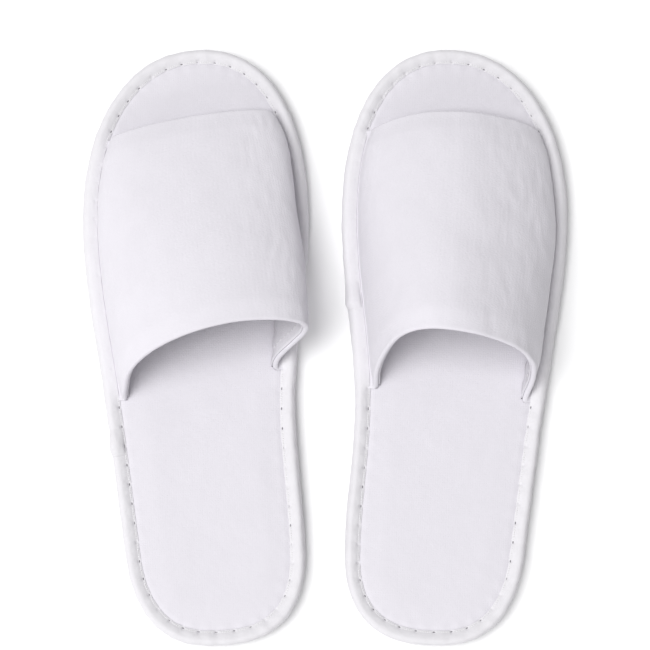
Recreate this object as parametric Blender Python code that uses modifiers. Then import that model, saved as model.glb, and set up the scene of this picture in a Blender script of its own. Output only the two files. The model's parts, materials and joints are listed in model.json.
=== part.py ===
"""A pair of open-toe spa slippers, as an assembly of separate pieces.

Each slipper is a foam sole (outsole, midsole pad, insole cover) bound round its edge with a
folded fabric tape, which is sewn through and traps the side margins of a padded upper. The sole
bends at a flex line just behind the upper, so each of its layers is a forefoot piece and a heel
piece there. The heel pieces hang on an empty whose origin lies on the flex axis.

Frame: +Y towards the toes, +X towards the right slipper, +Z up, in metres. The origin is the
centre of the pair's footprint, on the floor. One slipper is drawn in its own frame, with the
heel end at y = 0 and x towards its outer side, and the left one is its mirror image.
"""

import math

import bmesh
import bpy
from mathutils import Matrix, Vector

MM = 0.001

# Placing of the pair
LENGTH = 285 * MM
HEEL_END_X = 51 * MM
SPLAY = math.radians(2.0)

# Outline of the sole: (y, half width, slope) at three stations, and how square each end is
OUTER_SIDE = {
    "heel": (45 * MM, 42.0 * MM, 0.10),
    "waist": (112 * MM, 49.0 * MM, 0.115),
    "ball": (200 * MM, 58.0 * MM, 0.0),
    "heel_power": 2.5,
    "toe_power": 2.15,
}
INNER_SIDE = {
    "heel": (45 * MM, 43.2 * MM, 0.0),
    "waist": (108 * MM, 40.6 * MM, 0.0),
    "ball": (206 * MM, 50.2 * MM, 0.0),
    "heel_power": 2.5,
    "toe_power": 2.3,
}
END_STEPS = 8
SIDE_STEPS = 9
WELD_DISTANCE = 0.01 * MM

# Layers, from the floor up
GAP = 0.3 * MM
OUTSOLE_TOP = 4.0 * MM
OUTSOLE_RIM = 1.8 * MM
OUTSOLE_RIM_WIDTH = 7.4 * MM
RIM_BEVEL = 0.8 * MM
MIDSOLE = (OUTSOLE_TOP + GAP, 7.0 * MM)
INSOLE = (MIDSOLE[1] + GAP, 8.1 * MM)
MARGIN = (INSOLE[1] + GAP, 9.2 * MM)
BINDING = (GAP, 10.4 * MM)
BINDING_WIDTH = 6.6 * MM
BINDING_CLOTH = 0.9 * MM
BINDING_ROUND = 2.4 * MM
CORE_INSET = BINDING_CLOTH + GAP

# Sewing thread
THREAD_RADIUS = 0.35 * MM
STITCH_INSET = 4.9 * MM
STITCH_HEIGHT = BINDING[1] + GAP + THREAD_RADIUS

# Flex line of the sole
FLEX_Y = 110 * MM
FLEX_GAP = 0.4 * MM
FLEX_CLEAR = 3 * MM
FLEX_HEIGHT = STITCH_HEIGHT + THREAD_RADIUS

# Upper: the lining's inner face is the base surface, and the other layers stand off it
UPPER_INSET = 11.8 * MM
UPPER_BASE = INSOLE[1] + 1.0 * MM
LINING = (0.0, 0.7 * MM)
FOAM = (1.0 * MM, 2.9 * MM)
COVER = (3.35 * MM, 4.1 * MM)
MARGIN_END = 2.2 * MM
SEAM_DEPTH = 7.0 * MM
OPENING_SEAM_GAP = 0.5 * MM
ARCH_STEPS = 18
LENGTHWISE_STEPS = 9

# How each upper lies. Pairs are (at the throat, at the toe opening), but for fullness, which is
# (inner half, outer half): below 1 the arch is boxy, above 1 pointed. Overhang is how far the wall
# on that side bulges past its foot, lean shifts the crown towards the outer side, and tuck draws
# the middle of the inner foot in.
UPPERS = {
    "left": {
        "inner_y": (129 * MM, 251 * MM),
        "outer_y": (117 * MM, 242 * MM),
        "height": (40 * MM, 8 * MM),
        "lean": (-16 * MM, -7 * MM),
        "inner_overhang": (13.5 * MM, 3.5 * MM),
        "outer_overhang": (3 * MM, 2 * MM),
        "inner_tuck": 3.3 * MM,
        "fullness": (0.88, 0.8),
        "forward": (25 * MM, 4 * MM),
    },
    "right": {
        "inner_y": (120 * MM, 244 * MM),
        "outer_y": (116 * MM, 243 * MM),
        "height": (41 * MM, 8 * MM),
        "lean": (-6 * MM, 0.0),
        "inner_overhang": (-1 * MM, 0.0),
        "outer_overhang": (11 * MM, 5 * MM),
        "inner_tuck": 0.0,
        "fullness": (0.88, 1.12),
        "forward": (27 * MM, 8 * MM),
    },
}
FORWARD_POWER = (0.85, 1.8)
HEIGHT_POWER = 1.2
LEAN_POWER = 1.6
BULGE_POWER = 1.5
TUCK_POWER = 1.4

MATERIALS = {
    "velour": ((0.86, 0.85, 0.88), 0.95),
    "lining": ((0.84, 0.83, 0.86), 0.9),
    "binding": ((0.87, 0.86, 0.88), 0.8),
    "thread": ((0.90, 0.89, 0.91), 0.6),
    "insole_cloth": ((0.85, 0.84, 0.87), 0.95),
    "pad_foam": ((0.88, 0.87, 0.84), 0.9),
    "sole_foam": ((0.83, 0.82, 0.84), 0.7),
}


# ---------------------------------------------------------------- outline of the sole


def hermite(start, end, y):
    """Half width at y on the smooth curve between two stations, straight on before the first."""
    (y0, w0, slope0), (y1, w1, slope1) = start, end
    if y < y0:
        return w0 + slope0 * (y - y0)
    t = (y - y0) / (y1 - y0)
    run = y1 - y0
    ease = t * t * (3 - 2 * t)
    return w0 + (w1 - w0) * ease + run * t * (1 - t) * (slope0 * (1 - t) - slope1 * t)


def side_width(side, y):
    """Half width of one side of the sole at y, before its ends are rounded."""
    if y < side["waist"][0]:
        return hermite(side["heel"], side["waist"], y)
    if y < side["ball"][0]:
        return hermite(side["waist"], side["ball"], y)
    return side["ball"][1]


def side_points(side):
    """(half width, y) from the heel end to the toe end: a superellipse, a curve, a superellipse."""
    heel_y, ball_y = side["heel"][0], side["ball"][0]
    heel_power, toe_power = 2 / side["heel_power"], 2 / side["toe_power"]
    points = []
    for step in range(END_STEPS):
        turn = math.pi / 2 * step / END_STEPS
        y = heel_y * (1 - math.cos(turn) ** heel_power)
        points.append((side_width(side, y) * math.sin(turn) ** heel_power, y))
    for step in range(SIDE_STEPS):
        y = heel_y + (ball_y - heel_y) * step / SIDE_STEPS
        points.append((side_width(side, y), y))
    for step in range(END_STEPS):
        turn = math.pi / 2 * step / END_STEPS
        y = ball_y + (LENGTH - ball_y) * math.sin(turn) ** toe_power
        points.append((side_width(side, y) * math.cos(turn) ** toe_power, y))
    return points


def sole_outline():
    """The sole's edge as a closed loop of points: up the outer side, then down the inner one."""
    outer = side_points(OUTER_SIDE)
    inner = side_points(INNER_SIDE)[1:]
    loop = [Vector((width, y)) for width, y in outer]
    loop.append(Vector((0.0, LENGTH)))
    loop.extend(Vector((-width, y)) for width, y in reversed(inner))
    return loop


OUTLINE = sole_outline()


def inset_outline(inset):
    """The outline moved inwards by inset, point for point."""
    moved = []
    for index, point in enumerate(OUTLINE):
        before = OUTLINE[index - 1]
        after = OUTLINE[(index + 1) % len(OUTLINE)]
        along = (after - before).normalized()
        moved.append(point + inset * Vector((-along.y, along.x)))
    return moved


def edge_x(loop, y, sign):
    """x of the loop at y, on its outer side (sign 1) or its inner side (sign -1)."""
    for first, second in zip(loop, loop[1:] + loop[:1]):
        if (first.y - y) * (second.y - y) <= 0 and sign * (first.x + second.x) > 0:
            share = (y - first.y) / (second.y - first.y)
            return first.x + (second.x - first.x) * share
    raise ValueError(f"the outline doesn't reach y = {y}")


def part_loop(inset, part):
    """The inset outline of the forefoot or the heel: an open run between its two flex ends."""
    loop = inset_outline(inset)
    forward = 1 if part == "forefoot" else -1
    cut_y = FLEX_Y + forward * FLEX_GAP / 2
    ends = [Vector((edge_x(loop, cut_y, sign), cut_y)) for sign in (1, -1)]
    keep = [forward * (point.y - cut_y) > FLEX_CLEAR for point in OUTLINE]
    if part == "forefoot":
        return [ends[0], *(p for p, kept in zip(loop, keep) if kept), ends[1]]
    turn = keep.index(False)
    order = list(range(turn, len(loop))) + list(range(turn))
    return [ends[1], *(loop[i] for i in order if keep[i]), ends[0]]


# ---------------------------------------------------------------- objects


def clear_scene():
    for obj in list(bpy.data.objects):
        bpy.data.objects.remove(obj)


def make_material(name):
    colour, roughness = MATERIALS[name]
    material = bpy.data.materials.new(name)
    material.use_nodes = True
    shader = material.node_tree.nodes["Principled BSDF"]
    shader.inputs["Base Color"].default_value = (*colour, 1.0)
    shader.inputs["Roughness"].default_value = roughness
    shader.inputs["Metallic"].default_value = 0.0
    return material


class Slipper:
    """One slipper: its empties, and the placing of pieces drawn in the slipper's own frame."""

    def __init__(self, side, collection, materials, middle_y):
        self.side = side
        self.mirror = 1 if side == "right" else -1
        self.collection = collection
        self.materials = materials
        self.frame = self.add_empty(f"{side}_slipper_frame", None)
        self.frame.location = (self.mirror * HEEL_END_X, -middle_y, 0.0)
        self.frame.rotation_euler.z = -self.mirror * SPLAY
        self.flex = self.add_empty(f"{side}_flex_axis", self.frame)
        self.flex.location = (0.0, FLEX_Y, FLEX_HEIGHT)

    def add_empty(self, name, parent):
        empty = bpy.data.objects.new(name, None)
        self.collection.objects.link(empty)
        empty.parent = parent
        return empty

    def add(self, name, mesh, material, part):
        """Places a mesh as a named piece that moves with the forefoot or with the heel."""
        if self.mirror < 0:
            mesh.transform(Matrix.Scale(-1, 4, Vector((1, 0, 0))))
            mesh.flip_normals()
        if part == "heel":
            mesh.transform(Matrix.Translation(-self.flex.location))
        mesh.materials.append(self.materials[material])
        mesh.shade_smooth()
        mesh.set_sharp_from_angle(angle=math.radians(40))
        piece = bpy.data.objects.new(f"{self.side}_{name}", mesh)
        piece.parent = self.flex if part == "heel" else self.frame
        self.collection.objects.link(piece)
        return piece


def loft(rings):
    """A closed mesh through rings of equally many points, with a face over each end ring."""
    body = bmesh.new()
    loops = [[body.verts.new(point) for point in ring] for ring in rings]
    for lower, upper in zip(loops, loops[1:]):
        for index in range(len(lower)):
            following = (index + 1) % len(lower)
            body.faces.new((lower[index], lower[following], upper[following], upper[index]))
    body.faces.new(reversed(loops[0]))
    body.faces.new(loops[-1])
    bmesh.ops.recalc_face_normals(body, faces=body.faces)
    mesh = bpy.data.meshes.new("loft")
    body.to_mesh(mesh)
    body.free()
    return mesh


def welded_mesh(curve):
    """A closed mesh of a curve's filled or bevelled shape."""
    guide = bpy.data.objects.new("guide", curve)
    bpy.context.scene.collection.objects.link(guide)
    graph = bpy.context.evaluated_depsgraph_get()
    mesh = bpy.data.meshes.new_from_object(guide.evaluated_get(graph))
    bpy.data.objects.remove(guide)
    body = bmesh.new()
    body.from_mesh(mesh)
    bmesh.ops.remove_doubles(body, verts=body.verts, dist=WELD_DISTANCE)
    body.to_mesh(mesh)
    body.free()
    return mesh


def poly_curve(name, points, dimensions):
    curve = bpy.data.curves.new(name, "CURVE")
    curve.dimensions = dimensions
    spline = curve.splines.new("POLY")
    spline.points.add(len(points) - 1)
    for target, point in zip(spline.points, points):
        target.co = (*point, 1.0)
    return curve


def tube(points, radius):
    """A thread along points."""
    curve = poly_curve("thread", points, "3D")
    curve.bevel_depth = radius
    curve.bevel_resolution = 1
    curve.use_fill_caps = True
    return welded_mesh(curve)


def plate(outline, faces):
    """A flat sheet of an outline's shape, between two heights."""
    low, high = faces
    curve = poly_curve("plate", [(*point, 0.0) for point in outline], "2D")
    curve.splines[0].use_cyclic_u = True
    curve.fill_mode = "BOTH"
    curve.extrude = (high - low) / 2
    mesh = welded_mesh(curve)
    mesh.transform(Matrix.Translation((0.0, 0.0, (low + high) / 2)))
    return mesh


# ---------------------------------------------------------------- sole


def add_outsole(slipper, part):
    """Foam outsole, with its bottom rim stepped up to make room for the tape's lower fold."""
    levels = (
        (OUTSOLE_RIM_WIDTH, 0.0),
        (OUTSOLE_RIM_WIDTH, OUTSOLE_RIM),
        (CORE_INSET + RIM_BEVEL, OUTSOLE_RIM),
        (CORE_INSET, OUTSOLE_RIM + RIM_BEVEL),
        (CORE_INSET, OUTSOLE_TOP),
    )
    rings = [[(*p, z) for p in part_loop(inset, part)] for inset, z in levels]
    slipper.add(f"outsole_{part}", loft(rings), "sole_foam", part)


def add_midsole(slipper, part):
    mesh = plate(part_loop(CORE_INSET, part), MIDSOLE)
    slipper.add(f"midsole_pad_{part}", mesh, "pad_foam", part)


def add_insole_cover(slipper, part):
    mesh = plate(part_loop(CORE_INSET, part), INSOLE)
    slipper.add(f"insole_cover_{part}", mesh, "insole_cloth", part)


def quarter_turns(radius, steps):
    """(inset, z) points of the tape's two folds, from the underside up round to the top."""
    low, high = BINDING
    folds = ((low + BINDING_ROUND, -math.pi / 2), (high - BINDING_ROUND, 0.0))
    points = []
    for centre_z, start in folds:
        for step in range(steps + 1):
            turn = start + math.pi / 2 * step / steps
            inset = BINDING_ROUND - radius * math.cos(turn)
            points.append((inset, centre_z + radius * math.sin(turn)))
    return points


def binding_profile():
    """Cross-section of the folded tape as (inset, z): its outer face, then its inner face."""
    low, high = BINDING
    outer = quarter_turns(BINDING_ROUND, 3)
    inner = quarter_turns(BINDING_ROUND - BINDING_CLOTH, 2)
    return [
        (BINDING_WIDTH, low),
        *outer,
        (BINDING_WIDTH, high),
        (BINDING_WIDTH, high - BINDING_CLOTH),
        *reversed(inner),
        (BINDING_WIDTH, low + BINDING_CLOTH),
    ]


def add_binding(slipper, part):
    """Edge tape, folded over the rim of the sole from top to bottom."""
    runs = [[(*p, z) for p in part_loop(inset, part)] for inset, z in binding_profile()]
    slipper.add(f"edge_binding_{part}", loft(list(zip(*runs))), "binding", part)


def add_binding_thread(slipper, part):
    """Sewing thread that holds the tape, along the top of its inner edge."""
    path = [(*p, STITCH_HEIGHT) for p in part_loop(STITCH_INSET, part)]
    slipper.add(f"binding_thread_{part}", tube(path, THREAD_RADIUS), "thread", part)


# ---------------------------------------------------------------- upper

UPPER_FOOT = inset_outline(UPPER_INSET)


def between(pair, share):
    return pair[0] + (pair[1] - pair[0]) * share


def side_bulge(turn):
    """0 at the foot of a wall, 1 halfway up and 0 from the crown on."""
    return math.sin(2 * turn) ** BULGE_POWER if 0 < turn < math.pi / 2 else 0.0


def arch_point(upper, across, along):
    """A point of the upper's base surface. across runs from the inner foot, 0, to the outer
    foot, 1, and along from the throat, 0, to the toe opening, 1."""
    inner_y, outer_y = between(upper["inner_y"], along), between(upper["outer_y"], along)
    tuck = upper["inner_tuck"] * math.sin(math.pi * along**TUCK_POWER) ** 2
    inner = Vector((edge_x(UPPER_FOOT, inner_y, -1) + tuck, inner_y))
    outer = Vector((edge_x(UPPER_FOOT, outer_y, 1), outer_y))
    turn = math.pi * across
    cosine, sine = math.cos(turn), math.sin(turn)
    fullness = upper["fullness"][0 if cosine > 0 else 1]
    swing = math.copysign(abs(cosine) ** fullness, -cosine)
    foot = (inner + outer) / 2 + (outer - inner) / 2 * swing
    bulge = between(upper["outer_overhang"], along) * side_bulge(math.pi - turn)
    bulge -= between(upper["inner_overhang"], along) * side_bulge(turn)
    height = between(upper["height"], along**HEIGHT_POWER)
    return Vector((
        foot.x + between(upper["lean"], along) * sine**LEAN_POWER + bulge,
        foot.y + between(upper["forward"], along) * sine ** between(FORWARD_POWER, along),
        UPPER_BASE + height * sine**fullness,
    ))


def arch_normal(upper, across, along):
    """Unit vector that points out of the upper there."""
    step = 1e-3
    low_u, high_u = max(across - step, 0.0), min(across + step, 1.0)
    low_v, high_v = max(along - step, 0.0), min(along + step, 1.0)
    sideways = arch_point(upper, high_u, along) - arch_point(upper, low_u, along)
    lengthwise = arch_point(upper, across, high_v) - arch_point(upper, across, low_v)
    return sideways.cross(lengthwise).normalized()


def layer_mesh(upper, stand_off, margins):
    """An open grid on the arch, standing off the base surface. With margins, one more column
    on each side lies flat."""
    columns = ARCH_STEPS + (2 if margins else 0)
    body = bmesh.new()
    bmesh.ops.create_grid(body, x_segments=columns, y_segments=LENGTHWISE_STEPS, size=0.5)
    for vert in body.verts:
        column = round((vert.co.x + 0.5) * columns)
        along = vert.co.y + 0.5
        if margins and column in (0, columns):
            vert.co = margin_point(upper, column > 0, along)
            continue
        across = (column - 1 if margins else column) / ARCH_STEPS
        normal = arch_normal(upper, across, along)
        vert.co = arch_point(upper, across, along) + normal * stand_off
        if margins and column in (1, columns - 1):
            vert.co.z = MARGIN[0]
    mesh = bpy.data.meshes.new("layer")
    body.to_mesh(mesh)
    body.free()
    return mesh


def margin_point(upper, is_outer, along):
    """The edge of the cover's sewing margin, flat on the insole under the tape."""
    y = between(upper["outer_y" if is_outer else "inner_y"], along)
    x = edge_x(inset_outline(MARGIN_END), y, 1 if is_outer else -1)
    return Vector((x, y, MARGIN[0]))


def add_layer(slipper, name, material, faces, mesh):
    """One layer of the upper: its inner face given thickness outwards."""
    piece = slipper.add(name, mesh, material, "forefoot")
    solidify = piece.modifiers.new("thickness", "SOLIDIFY")
    solidify.thickness = faces[1] - faces[0]
    solidify.offset = 1.0
    solidify.use_even_offset = True


def add_upper(slipper):
    """Velour cover, foam interlining and lining. The cover's side margins run out flat, under
    the edge tape."""
    upper = UPPERS[slipper.side]
    cover = layer_mesh(upper, COVER[0], True)
    foam = layer_mesh(upper, FOAM[0], False)
    lining = layer_mesh(upper, LINING[0], False)
    add_layer(slipper, "upper_cover", "velour", COVER, cover)
    add_layer(slipper, "upper_foam", "pad_foam", FOAM, foam)
    add_layer(slipper, "upper_lining", "lining", LINING, lining)


def add_opening_seam(slipper, name, along_edge, inwards):
    """Thread that closes the turned edge of an opening, on the inside of the lining."""
    upper = UPPERS[slipper.side]
    depth = SEAM_DEPTH / (upper["inner_y"][1] - upper["inner_y"][0])
    along = along_edge + inwards * depth
    stand_off = -(OPENING_SEAM_GAP + THREAD_RADIUS)
    path = []
    for step in range(1, ARCH_STEPS):
        across = step / ARCH_STEPS
        normal = arch_normal(upper, across, along)
        path.append(arch_point(upper, across, along) + normal * stand_off)
    slipper.add(name, tube(path, THREAD_RADIUS), "thread", "forefoot")


# ---------------------------------------------------------------- the pair


def footprint_middle_y():
    """y of the middle of a splayed slipper's footprint, in the frame of its heel end."""
    turned = [p.x * -math.sin(SPLAY) + p.y * math.cos(SPLAY) for p in OUTLINE]
    return (min(turned) + max(turned)) / 2


def main():
    clear_scene()
    collection = bpy.data.collections.new("spa_slippers")
    bpy.context.scene.collection.children.link(collection)
    materials = {name: make_material(name) for name in MATERIALS}
    for side in ("left", "right"):
        slipper = Slipper(side, collection, materials, footprint_middle_y())
        for part in ("forefoot", "heel"):
            add_outsole(slipper, part)
            add_midsole(slipper, part)
            add_insole_cover(slipper, part)
            add_binding(slipper, part)
            add_binding_thread(slipper, part)
        add_upper(slipper)
        add_opening_seam(slipper, "throat_seam", 0.0, 1)
        add_opening_seam(slipper, "toe_seam", 1.0, -1)


main()
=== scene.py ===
"""Looks of a pair of open-toe spa slippers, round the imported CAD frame.

Each slipper is drawn in its own plan: the heel end at (0, 0), y towards the toes and x towards
its outer side. The sole's outline is one closed line, and the places of the tape, the stitches and
the upper are insets from it. The flex joint of each slipper says where its plan lies in the frame.
"""

import json
import math

import bpy
import numpy as np
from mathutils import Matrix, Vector, noise


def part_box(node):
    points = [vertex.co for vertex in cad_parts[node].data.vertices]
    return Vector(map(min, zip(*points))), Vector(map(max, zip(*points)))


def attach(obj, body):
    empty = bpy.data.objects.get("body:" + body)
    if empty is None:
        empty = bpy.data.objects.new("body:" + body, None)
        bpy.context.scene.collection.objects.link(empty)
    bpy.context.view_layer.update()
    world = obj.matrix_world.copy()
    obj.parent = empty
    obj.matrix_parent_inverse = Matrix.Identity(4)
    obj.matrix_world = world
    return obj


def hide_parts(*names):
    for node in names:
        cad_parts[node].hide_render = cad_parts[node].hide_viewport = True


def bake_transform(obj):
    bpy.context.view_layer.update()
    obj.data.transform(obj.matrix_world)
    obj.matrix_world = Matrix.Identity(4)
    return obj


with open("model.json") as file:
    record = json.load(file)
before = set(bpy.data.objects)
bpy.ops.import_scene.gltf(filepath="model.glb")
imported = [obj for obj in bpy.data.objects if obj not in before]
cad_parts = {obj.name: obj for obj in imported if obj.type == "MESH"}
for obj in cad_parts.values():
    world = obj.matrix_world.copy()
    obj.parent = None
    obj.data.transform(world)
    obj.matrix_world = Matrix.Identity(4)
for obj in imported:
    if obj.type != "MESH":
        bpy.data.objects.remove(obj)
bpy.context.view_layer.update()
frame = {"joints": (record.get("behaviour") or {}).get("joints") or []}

MM = 0.001
SIDES = ("left", "right")
PARTS = ("forefoot", "heel")

# Outline of the sole: (y, half width, slope) at three stations, and how square each end is
LENGTH = 285 * MM
FLEX_Y = 110 * MM
OUTER_SIDE = {
    "heel": (45 * MM, 42.0 * MM, 0.10),
    "waist": (112 * MM, 49.0 * MM, 0.115),
    "ball": (200 * MM, 58.0 * MM, 0.0),
    "heel_power": 2.5,
    "toe_power": 2.15,
}
INNER_SIDE = {
    "heel": (45 * MM, 43.2 * MM, 0.0),
    "waist": (108 * MM, 40.6 * MM, 0.0),
    "ball": (206 * MM, 50.2 * MM, 0.0),
    "heel_power": 2.5,
    "toe_power": 2.3,
}

OUTLINE_SMOOTHING = 3
INWARD_SMOOTHING = 12

# Layers of the sole: where each starts, in from the edge, and the rings that fill it
SPINE_Y = (52 * MM, 215 * MM)
RING_PITCH = 1.2 * MM
LAST_RING = 0.999
INSOLE_INSET = 2.6 * MM
INSOLE_CLOTH = 0.8 * MM
PAD_GAP = 0.1 * MM
OUTSOLE_INSET = 1.2 * MM
OUTSOLE_RIM = 1.8 * MM
OUTSOLE_RIM_WIDTH = 7.5 * MM

# Edge tape, its stitches, and its needle holes with their painted shade
STITCH_COUNT = 74
STEPS_PER_STITCH = 16
STITCH_INSET = 6.3 * MM
TAPE_REACH = 7.1 * MM
TAPE_CLOTH = 0.6 * MM
TAPE_STEPS = 50
THREAD_RADIUS = 0.28 * MM
HOLE_LENGTH = 1.3 * MM
HOLE_WIDTH = 0.6 * MM
HOLE_SHADE_PATCHES = 21 * MM
MARGIN_FADE = 3 * MM
MARGIN_LIFT = 1.0 * MM
MARGIN_FLATNESS = 0.65
MARGIN_SINK = 0.3 * MM

# The insole's top: it is sunk at the stitches, rises from there up to each (inset, by height), is
# uneven in layers of (size, height), and puckers at each stitch
INSOLE_SUNK = 0.35 * MM
INSOLE_RISES = ((STITCH_INSET + 2.6 * MM, 0.65 * MM), (20 * MM, 0.75 * MM))
INSOLE_UNEVEN = ((42 * MM, 0.30 * MM), (13 * MM, 0.08 * MM))
UNEVEN_FROM = (6 * MM, 20 * MM)
PUCKER_INSET = 8.2 * MM
PUCKER_WIDTH = 2 * MM
PUCKER_HEIGHT = 0.14 * MM

# Unevenness of the tape: how its puffs vary, and its edge's drift and its creases (size, height)
PUFF_SIZE = 17 * MM
PUFF_VARIES = 0.45
DRIFT = (30 * MM, 0.3 * MM)
RADIAL_CREASES = (3.4 * MM, 0.09 * MM)
RADIAL_STRETCH = 0.22
EVEN_CREASES = (6 * MM, 0.1 * MM)

# Where the tape's end laps over its start: y on the left's outer side and the right's inner
TAPE_ENDS = {"left": 90 * MM, "right": 171 * MM}
LAP_LENGTH = 14 * MM
LAP_THICKNESS = 1.0 * MM
LAP_STEPS = slice(5, 36)

# Upper: how far each layer stands off the arch, and how far in from an opening it starts
UPPER_INSET = 11.8 * MM
LINING_FACES = (0.0, 0.6 * MM)
FLAP_FACES = (0.7 * MM, 1.35 * MM)
FOAM_FACES = (1.45 * MM, 3.2 * MM)
COVER_FACES = (3.4 * MM, 4.1 * MM)
RIM_STAND_OFF = 3.3 * MM
RIM_SLOPE = 12 * MM
FLAP_WIDTH = 9 * MM
LINING_EDGE = 1.4 * MM
FOAM_EDGE = 10.5 * MM
SEAM_LINE = 7.0 * MM
SEAM_STITCH = 3.2 * MM
SEAM_GAP = 0.9 * MM
SEAM_RADIUS = 0.22 * MM
SEAM_SPAN = (0.03, 0.97)
SEAM_STEPS = 240
SEAM_SUNK = 0.12 * MM
ARCH_LENGTH = 122 * MM
COVER_COLUMNS = 131

# Where the cover's margin runs out flat under the tape: (inset, how far it lies up)
MARGIN_PATH = (
    (7.25 * MM, 0.0),
    (6.2 * MM, -0.1 * MM),
    (4.8 * MM, -0.15 * MM),
    (3.4 * MM, -0.2 * MM),
)
MARGIN_PRESSED = 0.17

# How each upper lies. Pairs are (at the throat, at the toe opening), but for fullness, which is
# (inner half, outer half): below 1 the arch is boxy, above 1 pointed. Overhang is how far the wall
# on that side bulges past its foot, lean shifts the crown towards the outer side, tuck draws the
# middle of the inner foot in, and shoulder raises a ridge just outside the crown.
UPPERS = {
    "left": {
        "inner_y": (129 * MM, 251 * MM),
        "outer_y": (117 * MM, 242 * MM),
        "height": (40 * MM, 8 * MM),
        "lean": (-16 * MM, -7 * MM),
        "inner_overhang": (15.5 * MM, 3.5 * MM),
        "outer_overhang": (3 * MM, 2 * MM),
        "inner_tuck": 3.3 * MM,
        "fullness": (0.88, 0.8),
        "shoulder": (0.0, 0.0),
        "forward": (25 * MM, 4 * MM),
    },
    "right": {
        "inner_y": (120 * MM, 244 * MM),
        "outer_y": (116 * MM, 243 * MM),
        "height": (41 * MM, 8 * MM),
        "lean": (-6 * MM, 0.0),
        "inner_overhang": (-1 * MM, 0.0),
        "outer_overhang": (11 * MM, 7 * MM),
        "inner_tuck": 0.0,
        "fullness": (0.88, 1.12),
        "shoulder": (6 * MM, 4 * MM),
        "forward": (27 * MM, 8 * MM),
    },
}
FORWARD_POWER = (0.85, 1.8)
HEIGHT_POWER = 1.2
LEAN_POWER = 1.6
BULGE_POWER = 1.5
TUCK_POWER = 1.4
SHOULDER_AT = 0.57
SHOULDER_WIDTH = 0.16

# Softness of the upper: slack as (size, height), gathers above the stitches, which are stronger
# towards +X, and pressed creases on the flank that faces +X
SLACK = ((46 * MM, 0.8 * MM), (17 * MM, 0.28 * MM))
ARCH_RADIUS = 40 * MM
GATHER_REACH = 5 * MM
GATHER_HEIGHT = (0.12 * MM, 0.30 * MM)
CREASE_SIZE = 4.2 * MM
CREASE_STRETCH = (1, 0.28, 0.6)
CREASE_DEPTH = 0.3 * MM

# Outsole grip
DOT_PITCH = 5.2 * MM
DOT_RADIUS = 1.1 * MM
DOT_HEIGHT = 0.4 * MM
DOT_MARGIN = 11 * MM
DOT_ROWS = (14 * MM, LENGTH - 12 * MM)
DOT_PROFILE = ((1.0, 1.5), (0.92, 0.55), (0.62, 0.1), (0.2, 0.0))
DOT_SIDES = 10

# Noise: its gain, and how far each seed moves it
NOISE_GAIN = 1.6
SEED_STEPS = (7.31, 3.17, 5.77)
SEEDS = {"left": 8, "right": 3}

# Colours, in linear light
VELOUR = (0.682, 0.663, 0.709)
INSOLE = (0.676, 0.657, 0.703)
LINING = (0.655, 0.638, 0.678)
TAPE = (0.705, 0.692, 0.72)
# painted shade of the needle holes: a dark colour standing in for the shade inside each hole
NEEDLE_HOLE_SHADE = (0.16, 0.15, 0.17)
THREAD = (0.76, 0.75, 0.77)
PAD_FOAM = (0.80, 0.79, 0.76)
SOLE_FOAM = (0.77, 0.76, 0.785)
FLOOR = (0.95, 0.95, 0.955)

# Studio: places in metres, powers in watts
FLOOR_HALF = 6.0
KEY_LIGHT = {"place": (-1.55, 0.1, 3.65), "size": (2.6, 2.6), "power": 150}
FILL_LIGHT = {"place": (-0.2, -2.6, 1.4), "size": (1.8, 1.2), "power": 22}
SKY_STRENGTH = 0.335
CAMERA_TARGET = (0.0, 8.9 * MM, 10 * MM)
CAMERA_DISTANCE = 1.0
CAMERA_ELEVATION = math.radians(85)
CAMERA_WIDTH = 309.2 * MM
SENSOR_WIDTH = 36


# ---------------------------------------------------------------- small tools


def between(pair, share):
    return pair[0] + (pair[1] - pair[0]) * share


def smooth_step(low, high, value):
    share = np.clip((value - low) / (high - low), 0, 1)
    return share * share * (3 - 2 * share)


def noise_at(points, size, seed):
    """Smooth noise from about -1 to 1 at an array of points, with features of that size."""
    flat = points.reshape(-1, points.shape[-1]) / size
    if flat.shape[1] == 2:
        flat = np.column_stack([flat, np.zeros(len(flat))])
    shift = Vector([seed * step for step in SEED_STEPS])
    values = [noise.noise(Vector(point) + shift) for point in flat.tolist()]
    return np.array(values).reshape(points.shape[:-1]) * NOISE_GAIN


def noise_layers(points, seed, *layers):
    """Layers of noise, each a (size, height), added up. Each has the next seed."""
    return sum(
        noise_at(points, size, seed + number) * height
        for number, (size, height) in enumerate(layers)
    )


def sheet_uv(rows, columns):
    """UVs of a grid of points, from the place of each row and of each column in metres."""
    return np.stack(np.meshgrid(rows, columns, indexing="ij"), axis=-1)


def smooth_through(knots, count):
    """Weights that turn rows of knots into count points of a Catmull-Rom curve through them."""
    weights = np.zeros((count, knots))
    for row, place in enumerate(np.linspace(0, knots - 1, count)):
        first = min(int(place), knots - 2)
        t = place - first
        blend = (
            (-t + 2 * t**2 - t**3) / 2,
            (2 - 5 * t**2 + 3 * t**3) / 2,
            (t + 4 * t**2 - 3 * t**3) / 2,
            (-(t**2) + t**3) / 2,
        )
        for offset, weight in enumerate(blend):
            knot = min(max(first - 1 + offset, 0), knots - 1)
            weights[row, knot] += weight
    return weights


def grid_faces(rows, columns, wrap_rows=False, wrap_columns=False, start=0):
    """Quads of a grid of points numbered row by row from start."""
    row = np.arange(rows if wrap_rows else rows - 1)[:, None]
    column = np.arange(columns if wrap_columns else columns - 1)[None, :]
    next_row, next_column = (row + 1) % rows, (column + 1) % columns
    corners = (
        row * columns + column,
        row * columns + next_column,
        next_row * columns + next_column,
        next_row * columns + column,
    )
    return start + np.stack([c.reshape(-1) for c in corners], axis=1)


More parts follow.
